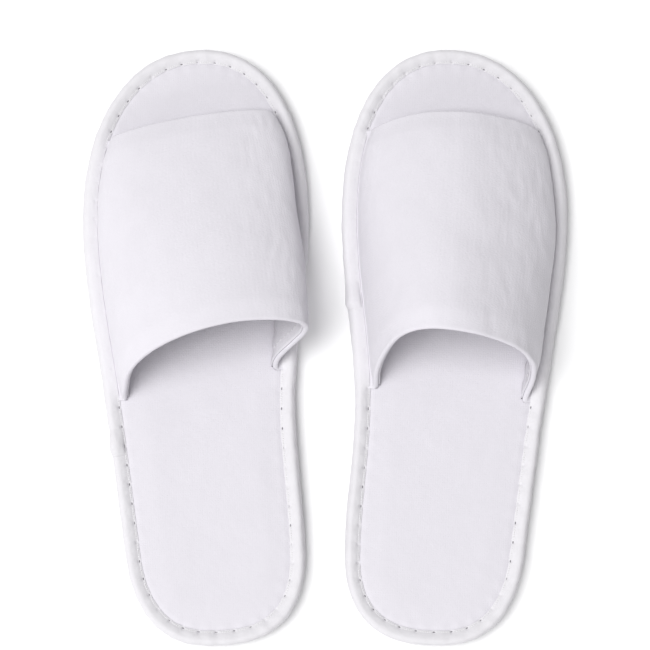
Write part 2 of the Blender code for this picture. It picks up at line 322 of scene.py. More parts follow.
def closed_tube(rings, count):
    """Quads of a tube of rings of count points, numbered ring by ring. At each end of the tube
    the first half of the ring is joined to its second half, which closes it."""
    half = np.arange(count // 2 - 1)
    cap = np.stack([half, half + 1, count - 2 - half, count - 1 - half], axis=1)
    side = grid_faces(rings, count, wrap_columns=True)
    return np.concatenate([side, cap[:, ::-1], cap + (rings - 1) * count])


def new_piece(name, points, faces, uv, material, turn=None):
    """A mesh object from arrays: points (n, 3), faces (m, 4), and uv (n, 2) in metres. Where the
    piece is a closed loop, turn is the length at which its u starts again from 0."""
    mesh = bpy.data.meshes.new(name)
    mesh.from_pydata(points.reshape(-1, 3).tolist(), [], faces.tolist())
    layer = mesh.uv_layers.new(name="cloth")
    corner_uv = uv.reshape(-1, 2)[faces]
    if turn:
        u = corner_uv[..., 0]
        u[(u.max(axis=1, keepdims=True) - u) > turn / 2] += turn
    layer.data.foreach_set("uv", corner_uv.astype(np.float32).ravel())
    mesh.materials.append(material)
    mesh.shade_smooth()
    piece = bpy.data.objects.new(name, mesh)
    bpy.context.scene.collection.objects.link(piece)
    return piece


# ---------------------------------------------------------------- outline of the sole


def side_width(side, y):
    """Half width of one side of the sole at each y, before its ends are rounded."""

    def curve(start, end):
        (y0, w0, slope0), (y1, w1, slope1) = start, end
        t = np.clip((y - y0) / (y1 - y0), 0, 1)
        bend = (y1 - y0) * t * (1 - t) * (slope0 * (1 - t) - slope1 * t)
        return w0 + (w1 - w0) * t * t * (3 - 2 * t) + bend

    heel, waist, ball = side["heel"], side["waist"], side["ball"]
    width = np.where(y < waist[0], curve(heel, waist), curve(waist, ball))
    return width + np.minimum(y - heel[0], 0) * heel[2]


def side_curve(side, steps=400):
    """(half width, y) along one side, from the heel end to the toe end."""
    heel_y, ball_y = side["heel"][0], side["ball"][0]
    turn = np.linspace(0, math.pi / 2, steps)
    heel = heel_y * (1 - np.cos(turn) ** (2 / side["heel_power"]))
    toe = ball_y + (LENGTH - ball_y) * np.sin(turn) ** (2 / side["toe_power"])
    middle = np.linspace(heel_y, ball_y, steps)[1:-1]
    y = np.concatenate([heel, middle, toe])
    width = side_width(side, y)
    width[:steps] *= np.sin(turn) ** (2 / side["heel_power"])
    width[-steps:] *= np.clip(np.cos(turn), 0, 1) ** (2 / side["toe_power"])
    return np.column_stack([width, y])


def smooth_loop(values, passes):
    for _ in range(passes):
        values = (np.roll(values, 1, axis=0) + 2 * values + np.roll(values, -1, axis=0)) / 4
    return values


class Outline:
    """The sole's edge as a loop of evenly spaced points: up the outer side, down the inner."""

    def __init__(self, count):
        inner = side_curve(INNER_SIDE)[::-1][1:-1] * (-1, 1)
        loop = np.concatenate([side_curve(OUTER_SIDE), inner])
        steps = np.linalg.norm(np.roll(loop, -1, axis=0) - loop, axis=1)
        run = np.concatenate([[0], np.cumsum(steps)])
        closed = np.vstack([loop, loop[:1]])
        self.length = run[-1]
        self.run = np.arange(count) * self.length / count
        self.points = np.column_stack([np.interp(self.run, run, closed[:, k]) for k in (0, 1)])
        self.points = smooth_loop(self.points, OUTLINE_SMOOTHING)
        along = np.roll(self.points, -1, axis=0) - np.roll(self.points, 1, axis=0)
        along /= np.linalg.norm(along, axis=1)[:, None]
        inward = np.column_stack([-along[:, 1], along[:, 0]])
        self.inward = smooth_loop(inward, INWARD_SMOOTHING)
        self.inward /= np.linalg.norm(self.inward, axis=1)[:, None]
        self.toe = int(np.argmax(self.points[:, 1]))

    def inset(self, distance):
        """The loop moved inwards, by one distance or by one for each point."""
        return self.points + self.inward * np.broadcast_to(distance, len(self.points))[:, None]

    def x_at(self, y, sign, distance):
        """x of the inset loop at each y, on the outer side (sign 1) or the inner (sign -1)."""
        loop = self.inset(distance)
        half = loop[1 : self.toe] if sign > 0 else loop[self.toe + 1 :][::-1]
        rising = np.maximum.accumulate(half[:, 1])
        return np.interp(y, rising, half[:, 0])

    def run_at(self, y, sign):
        """Distance along the loop at which it passes y, on that side."""
        part = slice(1, self.toe) if sign > 0 else slice(self.toe + 1, None)
        y_here, run_here = self.points[part, 1], self.run[part]
        order = np.argsort(y_here)
        return float(np.interp(y, y_here[order], run_here[order]))


OUTLINE = Outline(STITCH_COUNT * STEPS_PER_STITCH)
STITCH_LENGTH = OUTLINE.length / STITCH_COUNT


# ---------------------------------------------------------------- one slipper's place


class Slipper:
    """Turns plan points into the frame, and makes this slipper's pieces and finds its CAD nodes.
    """

    def __init__(self, side):
        self.side = side
        self.mirror = 1 if side == "right" else -1
        self.seed = SEEDS[side]
        joint = next(j for j in frame["joints"] if j["name"] == f"{side}_sole_flex")
        self.pivot = Vector(joint["pos_m"])
        self.rearwards = Vector((0, 0, 1)).cross(Vector(joint["axis"])).normalized()
        splay = math.atan2(-self.mirror * self.rearwards.x, -self.rearwards.y)
        self.cosine, self.sine = math.cos(splay), math.sin(splay)

    def place(self, points):
        """Plan points, as an array (..., 3), in the frame."""
        x, y, z = points[..., 0], points[..., 1] - FLEX_Y, points[..., 2]
        out = x * self.cosine + y * self.sine
        ahead = -x * self.sine + y * self.cosine
        return np.stack(
            [self.mirror * (abs(self.pivot.x) + out), self.pivot.y + ahead, z], axis=-1
        )

    def piece(self, name, points, faces, uv, material, turn=None):
        """A piece from plan points, wound the right way round on either side."""
        faces = faces if self.mirror > 0 else faces[:, ::-1]
        return new_piece(f"{self.side}_{name}", self.place(points), faces, uv, material, turn)

    def node(self, name):
        return f"{self.side}_{name}"

    def halves(self, name):
        """The two CAD nodes of a piece that crosses the flex line."""
        return [self.node(f"{name}_{part}") for part in PARTS]

    def bend(self, piece):
        """Bakes the piece's transform into its mesh; the piece is not bent."""
        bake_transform(piece)

    def height(self, node, top):
        """The lowest or highest z of one of this slipper's CAD nodes."""
        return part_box(self.node(node))[1 if top else 0].z


# ---------------------------------------------------------------- materials


class Cloth:
    """A material whose colour and bump come from patterns on the piece's own cloth UVs."""

    def __init__(self, name, colour, roughness, sheen=0.0, sheen_roughness=0.5):
        self.material = bpy.data.materials.new(name)
        self.material.use_nodes = True
        self.nodes = self.material.node_tree.nodes
        self.shader = self.nodes["Principled BSDF"]
        self.shader.inputs["Base Color"].default_value = (*colour, 1)
        self.shader.inputs["Roughness"].default_value = roughness
        self.shader.inputs["Specular IOR Level"].default_value = 0.25
        self.shader.inputs["Sheen Weight"].default_value = sheen
        self.shader.inputs["Sheen Roughness"].default_value = sheen_roughness
        self.uv = self.add("ShaderNodeUVMap")
        self.uv.uv_map = "cloth"
        self.colour = colour

    def add(self, kind, **settings):
        node = self.nodes.new(kind)
        for name, value in settings.items():
            setattr(node, name, value)
        return node

    def link(self, output, target):
        self.material.node_tree.links.new(output, target)

    def stretched(self, scale):
        """The cloth UVs, multiplied by scale along each way."""
        mapping = self.add("ShaderNodeVectorMath", operation="MULTIPLY")
        self.link(self.uv.outputs[0], mapping.inputs[0])
        mapping.inputs[1].default_value = (*scale, 1)
        return mapping.outputs[0]

    def noise(self, size, detail=3.0, stretch=(1, 1)):
        """Noise with features of that size in metres."""
        node = self.add("ShaderNodeTexNoise")
        self.link(self.stretched(stretch), node.inputs["Vector"])
        node.inputs["Scale"].default_value = 1 / size
        node.inputs["Detail"].default_value = detail
        return node.outputs[0]

    def ribs(self, pitch, direction, distortion=0.0):
        """Even ribs of that pitch in metres, across direction X or Y."""
        node = self.add("ShaderNodeTexWave", bands_direction=direction)
        self.link(self.uv.outputs[0], node.inputs["Vector"])
        node.inputs["Scale"].default_value = 2 * math.pi / (20 * pitch)
        node.inputs["Distortion"].default_value = distortion
        node.inputs["Detail"].default_value = 0
        return node.outputs[1]

    def holes(self, pitch, row):
        """Mask of the painted shade in the needle holes: 1 in small long holes along u, pitch
        apart, at v = row; 0 elsewhere.
        """
        parts = self.add("ShaderNodeSeparateXYZ")
        self.link(self.uv.outputs[0], parts.inputs[0])
        along = self.math("PINGPONG", parts.outputs[0], pitch / 2)
        along = self.math("DIVIDE", along, HOLE_LENGTH / 2)
        across = self.math("SUBTRACT", parts.outputs[1], row)
        across = self.math("DIVIDE", across, HOLE_WIDTH / 2)
        reach = self.math("ADD", self.math("POWER", along, 2.0), self.math("POWER", across, 2.0))
        spread = self.add("ShaderNodeMapRange", interpolation_type="SMOOTHSTEP")
        self.link(reach, spread.inputs["Value"])
        for socket, value in (("From Min", 0.4), ("From Max", 1.6), ("To Min", 1), ("To Max", 0)):
            spread.inputs[socket].default_value = value
        # the holes attribute says where the painted hole shade is shown
        hole_shade_mask = self.add("ShaderNodeAttribute")
        hole_shade_mask.attribute_name = "holes"
        return self.math("MULTIPLY", spread.outputs[0], hole_shade_mask.outputs["Fac"])

    def math(self, operation, first, second):
        node = self.add("ShaderNodeMath", operation=operation)
        for target, value in zip(node.inputs, (first, second)):
            if isinstance(value, float):
                target.default_value = value
            else:
                self.link(value, target)
        return node.outputs[0]

    def bump(self, layers, depth):
        """Bump from (pattern, weight) layers."""
        height = None
        for pattern, weight in layers:
            layer = self.math("MULTIPLY", pattern, float(weight))
            height = layer if height is None else self.math("ADD", height, layer)
        node = self.add("ShaderNodeBump")
        node.inputs["Strength"].default_value = 1.0
        node.inputs["Distance"].default_value = depth
        self.link(height, node.inputs["Height"])
        self.link(node.outputs[0], self.shader.inputs["Normal"])

    def tint(self, layers, masks=()):
        """Base colour, made darker and lighter by (pattern, amount) layers, and darkened where a
        (mask, colour) says so."""
        level = None
        for pattern, amount in layers:
            layer = self.math("MULTIPLY", self.math("SUBTRACT", pattern, 0.5), float(amount))
            level = layer if level is None else self.math("ADD", level, layer)
        level = self.math("ADD", level, 1.0)
        scaled = self.add("ShaderNodeVectorMath", operation="SCALE")
        scaled.inputs[0].default_value = self.colour
        self.link(level, scaled.inputs["Scale"])
        result = scaled.outputs[0]
        for mask, colour in masks:
            mix = self.add("ShaderNodeMix", data_type="RGBA")
            self.link(mask, mix.inputs["Factor"])
            self.link(result, mix.inputs["A"])
            mix.inputs["B"].default_value = (*colour, 1)
            result = mix.outputs["Result"]
        self.link(result, self.shader.inputs["Base Color"])


def velour():
    """Short cut pile: soft grain, faint lengthwise ribs and patches where the nap lies over."""
    cloth = Cloth("velour", VELOUR, 0.95, sheen=0.2)
    pile = cloth.noise(0.75 * MM, 4)
    ribs = cloth.ribs(1.25 * MM, "X", 1.0)
    nap = cloth.noise(9 * MM, 3, (1.6, 0.7))
    cloth.bump([(pile, 0.5), (ribs, 0.05), (nap, 0.9)], 0.3 * MM)
    cloth.tint([(pile, 0.05), (nap, 0.05), (cloth.noise(30 * MM, 2), 0.03)])
    return cloth.material


def insole_cloth():
    """Brushed loop cloth with a fine grid."""
    cloth = Cloth("insole_cloth", INSOLE, 0.97, sheen=0.12)
    grain = cloth.noise(0.6 * MM, 4)
    grid = cloth.math("ADD", cloth.ribs(1.1 * MM, "X", 0.6), cloth.ribs(1.1 * MM, "Y", 0.6))
    cloth.bump([(grain, 0.45), (grid, 0.05), (cloth.noise(6 * MM, 2), 0.9)], 0.28 * MM)
    cloth.tint([(grain, 0.04), (cloth.noise(14 * MM, 3), 0.04)])
    return cloth.material


def lining_cloth():
    cloth = Cloth("lining_cloth", LINING, 0.9, sheen=0.1)
    ribs = cloth.ribs(0.9 * MM, "X", 0.4)
    cloth.bump([(ribs, 0.4), (cloth.noise(0.5 * MM, 3), 0.6)], 0.25 * MM)
    cloth.tint([(ribs, 0.03), (cloth.noise(12 * MM, 2), 0.04)])
    return cloth.material


def binding_cloth():
    """Folded tape: fine plain weave, with painted shade for a needle hole at each end of every
    stitch.
    """
    cloth = Cloth("binding_cloth", TAPE, 0.85, sheen=0.12)
    weave = cloth.math("ADD", cloth.ribs(0.62 * MM, "X", 0.5), cloth.ribs(0.62 * MM, "Y", 0.5))
    cloth.bump([(weave, 0.3), (cloth.noise(1.6 * MM, 3), 0.7)], 0.12 * MM)
    cloth.tint(
        [(cloth.noise(1.2 * MM, 3), 0.04), (cloth.noise(11 * MM, 2), 0.04)],
        # painted shade in the needle holes
        [(cloth.holes(STITCH_LENGTH, TAPE_REACH - STITCH_INSET), NEEDLE_HOLE_SHADE)],
    )
    return cloth.material


def foam(name, colour):
    cloth = Cloth(name, colour, 0.8)
    cells = cloth.noise(0.5 * MM, 3)
    cloth.bump([(cells, 1.0)], 0.12 * MM)
    cloth.tint([(cells, 0.06), (cloth.noise(15 * MM, 2), 0.03)])
    return cloth.material


def sewing_thread():
    """Two plies, seen as slanting ribs."""
    cloth = Cloth("sewing_thread", THREAD, 0.6)
    plies = cloth.ribs(0.55 * MM, "DIAGONAL")
    cloth.bump([(plies, 1.0)], 0.15 * MM)
    cloth.tint([(plies, 0.12)])
    return cloth.material


MATERIALS = {
    "velour": velour(),
    "insole_cloth": insole_cloth(),
    "lining": lining_cloth(),
    "binding": binding_cloth(),
    "thread": sewing_thread(),
    "pad_foam": foam("pad_foam", PAD_FOAM),
    "sole_foam": foam("sole_foam", SOLE_FOAM),
}


def finish_piece(piece, slot, *nodes):
    """The piece stands for those CAD nodes, which are hidden. piece and slot are not used."""
    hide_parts(*nodes)


# ---------------------------------------------------------------- sole


def spine(points):
    """The nearest points on the line down the middle of the sole, for filling it with rings."""
    y = np.clip(points[:, 1], *SPINE_Y)
    middle = (side_width(OUTER_SIDE, y) - side_width(INNER_SIDE, y)) / 2
    return np.column_stack([middle, y])


def filled_rings(outer_inset, edge_steps, fill_steps):
    """Rings of plan points: even insets near the edge, then shrinking on to the spine. Returns
    the points (rings, n, 2) and each ring's distance from the sole's edge (rings, n)."""
    insets = outer_inset + np.arange(edge_steps) * RING_PITCH
    edge = np.stack([OUTLINE.inset(inset) for inset in insets])
    centre = spine(edge[-1])
    centre = (centre + centre[::-1]) / 2
    share = np.linspace(0, 1, fill_steps + 1)[1:, None, None] * LAST_RING
    fill = edge[-1] + (centre - edge[-1]) * share
    from_edge = np.broadcast_to(insets[:, None], edge.shape[:2])
    reach = np.linalg.norm(centre - edge[-1], axis=1)
    deeper = insets[-1] + share[..., 0] * reach
    return np.concatenate([edge, fill]), np.concatenate([from_edge, deeper])


def solid_of_rings(slipper, name, plan, low, high, material):
    """A closed piece between two heights over the same rings. Its top and bottom meet at the
    first ring, and each is closed along the spine."""
    rings, count = plan.shape[:2]
    top = np.concatenate([plan, high[..., None]], axis=-1)
    bottom = np.concatenate([plan, low[..., None]], axis=-1)
    points = np.concatenate([bottom[::-1], top])
    return slipper.piece(name, points, closed_tube(2 * rings, count), points[..., :2], material)


def insole_height(slipper, plan, from_edge):
    """The insole's top: sunk at the stitches, crowned inside them, and softly uneven."""
    sunk = slipper.height("insole_cover_forefoot", top=True) - INSOLE_SUNK
    rise = sum(smooth_step(STITCH_INSET, end, from_edge) * up for end, up in INSOLE_RISES)
    uneven = noise_layers(plan, slipper.seed, *INSOLE_UNEVEN)
    uneven = uneven * smooth_step(*UNEVEN_FROM, from_edge)
    near_edge = np.exp(-(((from_edge - PUCKER_INSET) / PUCKER_WIDTH) ** 2))
    puckers = -np.cos(2 * math.pi * OUTLINE.run / STITCH_LENGTH) * near_edge * PUCKER_HEIGHT
    return sunk + rise + uneven + puckers


def make_insole(slipper):
    """Insole cover and the pad under it, which gives it its crown."""
    plan, from_edge = filled_rings(INSOLE_INSET, edge_steps=14, fill_steps=26)
    top = insole_height(slipper, plan, from_edge)
    under = top - INSOLE_CLOTH
    cover = solid_of_rings(slipper, "insole_cover", plan, under, top, MATERIALS["insole_cloth"])
    finish_piece(cover, "insole_cloth", *slipper.halves("insole_cover"))
    low = np.full_like(top, slipper.height("midsole_pad_forefoot", top=False))
    pad = solid_of_rings(
        slipper, "midsole_pad", plan, low, under - PAD_GAP, MATERIALS["pad_foam"]
    )
    finish_piece(pad, "pad_foam", *slipper.halves("midsole_pad"))
    for piece in (cover, pad):
        slipper.bend(piece)


def dots_under(slipper):
    """Low round grip dots on the outsole's underside, in staggered rows."""
    rows = np.arange(*DOT_ROWS, DOT_PITCH * 0.87)
    centres = []
    for number, y in enumerate(rows):
        low = OUTLINE.x_at(y, -1, DOT_MARGIN)
        high = OUTLINE.x_at(y, 1, DOT_MARGIN)
        stagger = DOT_PITCH / 2 * (number % 2)
        steps = np.arange(math.ceil((low - stagger) / DOT_PITCH), (high - stagger) / DOT_PITCH)
        centres.extend((step * DOT_PITCH + stagger, y) for step in steps)
    around = np.linspace(0, 2 * math.pi, DOT_SIDES, endpoint=False)
    circle = np.column_stack([np.cos(around), np.sin(around), np.zeros(DOT_SIDES)]) * DOT_RADIUS
    rings = [circle * wide + (0.0, 0.0, DOT_HEIGHT * deep) for wide, deep in DOT_PROFILE]
    dot = np.concatenate(rings)
    points = np.concatenate([dot + (x, y, 0.0) for x, y in centres])
    starts = range(0, len(points), len(dot))
    faces = [grid_faces(len(rings), DOT_SIDES, wrap_columns=True, start=s) for s in starts]
    return points, np.concatenate(faces)


def make_outsole(slipper):
    """Foam outsole with its rim stepped for the tape, and grip dots underneath."""
    top = slipper.height("outsole_forefoot", top=True)
    plan, from_edge = filled_rings(OUTSOLE_INSET, edge_steps=8, fill_steps=12)
    under = np.where(from_edge < OUTSOLE_RIM_WIDTH, OUTSOLE_RIM, DOT_HEIGHT)
    high = np.full_like(under, top)
    sole = solid_of_rings(slipper, "outsole", plan, under, high, MATERIALS["sole_foam"])
    finish_piece(sole, "sole_foam", *slipper.halves("outsole"))
    points, faces = dots_under(slipper)
    dots = slipper.piece(
        "grip_dots", points, faces[:, ::-1], points[:, :2], MATERIALS["sole_foam"]
    )
    for piece in (sole, dots):
        slipper.bend(piece)


# ---------------------------------------------------------------- edge tape


def under_upper(slipper):
    """1 where the upper's margin lies under the tape, and 0 elsewhere, along the outline."""
    upper = UPPERS[slipper.side]
    spans = [
        (OUTLINE.run_at(upper["outer_y"][0], 1), OUTLINE.run_at(upper["outer_y"][1], 1)),
        (OUTLINE.run_at(upper["inner_y"][1], -1), OUTLINE.run_at(upper["inner_y"][0], -1)),
    ]
    run, fade = OUTLINE.run, MARGIN_FADE
    return sum(
        smooth_step(first - fade, first + fade, run) * smooth_step(last + fade, last - fade, run)
        for first, last in spans
    )


def tape_knots(slipper):
    """Knots of the tape's cross-section round its outer face, as inset and z (n, knots, 2). The
    tape is drawn down at each needle hole and puffs up in between."""
    phase = 2 * math.pi * OUTLINE.run / STITCH_LENGTH
    vary = 1 + PUFF_VARIES * noise_at(OUTLINE.points, PUFF_SIZE, slipper.seed + 2)
    vary = vary * (1 - MARGIN_FLATNESS * under_upper(slipper))
    puff = (1 - np.cos(phase)) / 2 * vary
    slant = (1 - np.cos(phase + 0.9)) / 2 * vary
    pit = np.exp(-((puff / vary / 0.06) ** 2)) * vary
    lift = under_upper(slipper) * MARGIN_LIFT
    drift = noise_layers(OUTLINE.points, slipper.seed + 3, DRIFT)
    low = slipper.height("edge_binding_forefoot", top=False)
    knots = [
        (TAPE_REACH + 0.15 * MM * slant, 8.1 * MM + lift + 0.1 * MM * puff - 0.15 * MM * pit),
        (STITCH_INSET + 0.3 * MM, 8.3 * MM + lift + 0.12 * MM * puff - 0.45 * MM * pit),
        (STITCH_INSET - 0.3 * MM, 8.5 * MM + lift + 0.2 * MM * puff - 0.45 * MM * pit),
        (5.1 * MM, 9.0 * MM + lift * 0.8 + 0.25 * MM * puff),
        (3.9 * MM, 9.55 * MM + lift * 0.5 + 0.2 * MM * slant),
        (2.7 * MM, 9.85 * MM + lift * 0.25 + 0.16 * MM * slant),
        (1.5 * MM, 9.55 * MM + 0.12 * MM * slant),
        (0.6 * MM - 0.1 * MM * slant + drift * 0.3, 8.5 * MM + 0.1 * MM * slant),
        (0.1 * MM - 0.1 * MM * slant + drift * 0.6, 7.0 * MM),
        (0.0 * MM + drift * 0.6, 5.0 * MM),
        (0.25 * MM + drift * 0.4, 2.9 * MM),
        (1.1 * MM, 1.2 * MM - 0.1 * MM * slant),
        (2.6 * MM, low + 0.25 * MM),
        (4.4 * MM, low + 0.1 * MM * puff),
        (STITCH_INSET, low + 0.35 * MM - 0.3 * MM * puff),
        (TAPE_REACH, low + 0.15 * MM),
    ]
    pairs = [np.broadcast_arrays(inset, z, phase)[:2] for inset, z in knots]
    return np.stack([np.stack(pair, axis=-1) for pair in pairs], axis=1)


def tape_section(slipper):
    """The tape's outer face, as inset and z (n, steps, 2), the way that it faces at each point,
    and how far its small creases stand out there."""
    count = TAPE_STEPS
    knots = tape_knots(slipper)
    face = smooth_through(knots.shape[1], count) @ knots
    across = np.linspace(0, 30 * MM, count)
    where = np.broadcast_to(OUTLINE.points[:, None], (len(knots), count, 2))
    deep = np.broadcast_to(across[None, :, None], (len(knots), count, 1))
    radial = np.concatenate([where, deep * RADIAL_STRETCH], axis=-1)
    even = np.concatenate([where, deep], axis=-1)
    creases = noise_layers(radial, slipper.seed + 4, RADIAL_CREASES)
    creases = creases + noise_layers(even, slipper.seed + 5, EVEN_CREASES)
    ends = np.sin(np.linspace(0, math.pi, count)) ** 0.5
    along = np.gradient(face, axis=1)
    outward = np.stack([along[..., 1], -along[..., 0]], axis=-1)
    outward /= np.linalg.norm(outward, axis=-1)[..., None] + 1e-9
    return face, outward, creases * ends


def make_tape(slipper):
    """Edge tape, folded over the rim of the sole all the way round."""
    face, outward, creases = tape_section(slipper)
    outer = face + outward * creases[..., None]
    taper = 0.45 + 0.55 * smooth_step(0, 8, np.arange(face.shape[1]))
    inner = face - outward * TAPE_CLOTH * taper[None, :, None]
    section = np.concatenate([outer, inner[:, ::-1]], axis=1)
    section[..., 1] = np.maximum(section[..., 1], 0.05 * MM)
    base = OUTLINE.points[:, None] + OUTLINE.inward[:, None] * section[..., :1]
    points = np.concatenate([base, section[..., 1:]], axis=-1)
    rows, columns = points.shape[:2]
    faces = grid_faces(rows, columns, wrap_rows=True, wrap_columns=True)
    steps = np.linalg.norm(np.diff(section, axis=1), axis=-1)
    across = np.concatenate([np.zeros((rows, 1)), np.cumsum(steps, axis=1)], axis=1)
    uv = np.stack([np.broadcast_to(OUTLINE.run[:, None], across.shape), across], axis=-1)
    tape = slipper.piece(
        "edge_binding", points, faces, uv, MATERIALS["binding"], turn=OUTLINE.length
    )
    # where the needle holes' painted shade shows: not under the upper's margin, and only in
    # patches elsewhere
    holes = tape.data.attributes.new("holes", "FLOAT", "POINT")
    patches = noise_at(OUTLINE.points, HOLE_SHADE_PATCHES, slipper.seed + 9)
    hole_shade_shown = (1 - under_upper(slipper)) * smooth_step(-0.7, 0.3, patches)
    holes.data.foreach_set("value", np.repeat(hole_shade_shown, columns).astype(np.float32))
    finish_piece(tape, "binding", *slipper.halves("edge_binding"))
    slipper.bend(tape)


def make_tape_end(slipper):
    """Where the tape's end laps over its start: a second layer that stands out from the tape and
    feathers out along it, quickly at its start and slowly at its end."""
    side = "outer" if slipper.side == "left" else "inner"
    lap = OUTLINE.run_at(TAPE_ENDS[slipper.side], 1 if side == "outer" else -1)
    rows = np.flatnonzero((OUTLINE.run > lap) & (OUTLINE.run < lap + LAP_LENGTH))
    rows = rows if side == "outer" else rows[::-1]
    face, outward, creases = tape_section(slipper)
    face, outward = face[rows, LAP_STEPS], outward[rows, LAP_STEPS]
    lie = creases[rows, LAP_STEPS, None]
    place = np.linspace(0, 1, len(rows))
    share = (smooth_step(0, 0.22, place) * smooth_step(1, 0.2, place))[:, None, None]
    blunt = np.sin(np.linspace(0, math.pi, face.shape[1])) ** 0.3
    thick = (0.01 * MM + LAP_THICKNESS * share) * (0.15 + 0.85 * blunt[None, :, None])
    outer = face + outward * (lie + thick - 0.02 * MM)
    inner = face + outward * (lie - 0.04 * MM)
    section = np.concatenate([outer, inner[:, ::-1]], axis=1)
    plan = OUTLINE.points[rows, None] + OUTLINE.inward[rows, None] * section[..., :1]
    points = np.concatenate([plan, section[..., 1:]], axis=-1)
    ring = points.shape[1]
    faces = closed_tube(len(rows), ring)
    faces = faces if side == "outer" else faces[:, ::-1]
    uv = sheet_uv(OUTLINE.run[rows], np.arange(ring) * 0.8 * MM)
    lap_end = slipper.piece("binding_lap", points, faces, uv, MATERIALS["binding"])
    slipper.bend(lap_end)


def capsule(path, radius, sides=8):
    """Points and faces of a thread along path (n, 3), drawn in to a point at both ends."""
    along = np.gradient(path, axis=0)
    along /= np.linalg.norm(along, axis=1)[:, None]
    sideways = np.cross(along, (0.0, 0.0, 1.0))
    sideways /= np.linalg.norm(sideways, axis=1)[:, None]
    upwards = np.cross(sideways, along)
    taper = np.sqrt(np.clip(np.sin(np.linspace(0.12, math.pi - 0.12, len(path))), 0, 1))
    turn = np.linspace(0, 2 * math.pi, sides, endpoint=False)
    ring = (
        sideways[:, None] * np.cos(turn)[None, :, None]
        + upwards[:, None] * np.sin(turn)[None, :, None]
    )
    points = path[:, None] + ring * (radius * taper)[:, None, None]
    return points, grid_faces(len(path), sides, wrap_columns=True)


def join_threads(slipper, name, paths, radius):
    """One piece from several short threads."""
    points, faces, uv = [], [], []
    start = 0
    for path in paths:
        thread, quads = capsule(path, radius)
        points.append(thread.reshape(-1, 3))
        faces.append(quads + start)
        run = np.linspace(0, 1, len(path)) * np.linalg.norm(path[-1] - path[0])
        turn = np.linspace(0, 2 * math.pi * radius, thread.shape[1])
        uv.append(sheet_uv(run, turn).reshape(-1, 2))
        start += thread.shape[0] * thread.shape[1]
    return slipper.piece(
        name, np.concatenate(points), np.concatenate(faces), np.concatenate(uv),
        MATERIALS["thread"],
    )


def make_tape_stitches(slipper):
    """Single stitches that sink into their needle holes, on top of the tape and underneath."""
    face, _, _ = tape_section(slipper)
    column = int(np.argmin(np.abs(face[0, :16, 0] - STITCH_INSET)))
    on_top = face[:, column]
    sunk = under_upper(slipper) * MARGIN_SINK
    paths = []
    for stitch in range(STITCH_COUNT):
        here = (stitch * STEPS_PER_STITCH + np.arange(STEPS_PER_STITCH + 1)) % len(on_top)
        share = np.linspace(0, 1, STEPS_PER_STITCH + 1)
        drawn = np.sin(math.pi * share) ** 0.4
        taut = on_top[here[0], 1] * (1 - share) + on_top[here[-1], 1] * share
        pressed = np.maximum(on_top[here, 1] - 0.15 * MM, taut)
        z = pressed + THREAD_RADIUS * (1.1 * drawn - 0.9) - sunk[here]
        plan = OUTLINE.points[here] + OUTLINE.inward[here] * STITCH_INSET
        paths.append(np.column_stack([plan, z]))
        low = slipper.height("edge_binding_forefoot", top=False) + 0.1 * MM
        beneath = np.column_stack([plan, low + 0.25 * MM * (1 - drawn)])
        paths.append(beneath)
    thread = join_threads(slipper, "binding_thread", paths, THREAD_RADIUS)
    finish_piece(thread, "thread", *slipper.halves("binding_thread"))
    slipper.bend(thread)


# ---------------------------------------------------------------- upper


def side_bulge(turn):
    """0 at the foot of a wall, 1 halfway up and 0 from the crown on."""
    return np.where(turn < math.pi / 2, np.abs(np.sin(2 * turn)) ** BULGE_POWER, 0)


